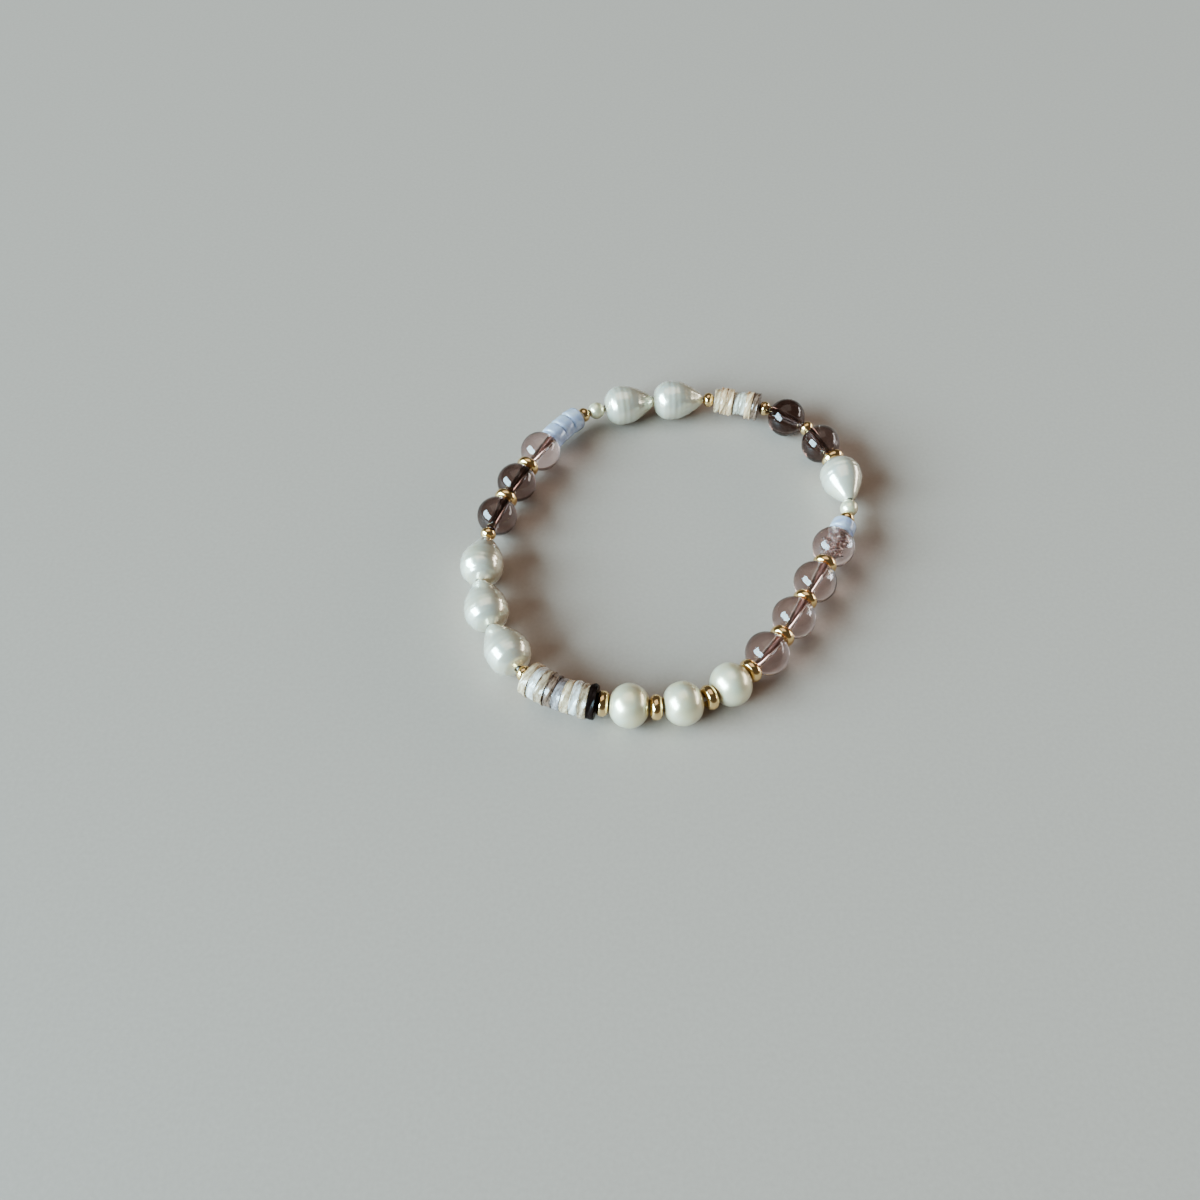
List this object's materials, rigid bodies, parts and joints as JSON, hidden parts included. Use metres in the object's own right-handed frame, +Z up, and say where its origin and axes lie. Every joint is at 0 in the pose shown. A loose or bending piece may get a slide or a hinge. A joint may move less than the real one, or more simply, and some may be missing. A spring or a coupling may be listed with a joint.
{
  "type": "pearl bracelet",
  "caption": "Stretch bracelet lying in a closed loop: round and drop pearls, clear rose and smoky glass, shell discs and small gold spacers on elastic cord.",
  "frame": {"origin": "on the surface that the bracelet lies on, below the middle of its outline", "axes": "+Z up, across the thin way of the flat loop; +X to the right and +Y away as the picture shows it"},
  "size_m": [0.0634, 0.0678, 0.0065],
  "materials": {
    "pearl": "soft satin nacre, cream white with a cool sheen",
    "drop_pearl": "glossy nacre, silvery white",
    "rose_glass": "polished clear glass, smoky rose",
    "smoky_glass": "polished clear glass, dark smoky brown",
    "blue_glass": "milky periwinkle glass, polished",
    "gold": "polished gold",
    "shell_cream": "satin shell, cream",
    "shell_pale_blue": "satin shell, bluish white",
    "shell_tan": "satin shell, tan",
    "shell_brown": "satin shell, brown",
    "shell_grey": "satin shell, bluish grey",
    "shell_peach": "satin shell, peach",
    "shell_white": "satin shell, white",
    "shell_black": "satin shell, near black",
    "cord": "translucent elastic"
  },
  "bodies": {
    "root": {"pearl_1": "pearl", "pearl_2": "pearl", "pearl_3": "pearl", "drop_pearl_1": "drop_pearl", "drop_pearl_2": "drop_pearl", "drop_pearl_3": "drop_pearl", "drop_pearl_4": "drop_pearl", "drop_pearl_5": "drop_pearl", "drop_pearl_6": "drop_pearl", "seed_pearl_1": "pearl", "seed_pearl_2": "pearl", "rose_glass_1": "rose_glass", "rose_glass_2": "rose_glass", "rose_glass_3": "rose_glass", "rose_glass_4": "rose_glass", "rose_glass_5": "rose_glass", "smoky_glass_1": "smoky_glass", "smoky_glass_2": "smoky_glass", "smoky_glass_3": "smoky_glass", "smoky_glass_4": "smoky_glass", "blue_rondelle_1": "blue_glass", "blue_rondelle_2": "blue_glass", "blue_rondelle_3": "blue_glass", "blue_rondelle_4": "blue_glass", "gold_rondelle_1": "gold", "gold_rondelle_2": "gold", "gold_rondelle_3": "gold", "gold_rondelle_4": "gold", "gold_rondelle_5": "gold", "gold_rondelle_6": "gold", "gold_rondelle_7": "gold", "gold_rondelle_8": "gold", "gold_rondelle_9": "gold", "gold_rondelle_10": "gold", "gold_bead_1": "gold", "gold_bead_2": "gold", "gold_bead_3": "gold", "gold_bead_4": "gold", "gold_bead_5": "gold", "gold_bead_6": "gold", "gold_bead_7": "gold", "shell_disc_1": "shell_brown", "shell_disc_2": "shell_peach", "shell_disc_3": "shell_white", "shell_disc_4": "shell_white", "shell_disc_5": "shell_peach", "shell_disc_6": "shell_peach", "shell_disc_7": "shell_cream", "shell_disc_8": "shell_cream", "shell_disc_9": "shell_pale_blue", "shell_disc_10": "shell_tan", "shell_disc_11": "shell_brown", "shell_disc_12": "shell_grey", "shell_disc_13": "shell_cream", "shell_disc_14": "shell_pale_blue", "shell_disc_15": "shell_tan", "shell_disc_16": "shell_black", "elastic_cord": "cord"}
  },
  "joints": []
}
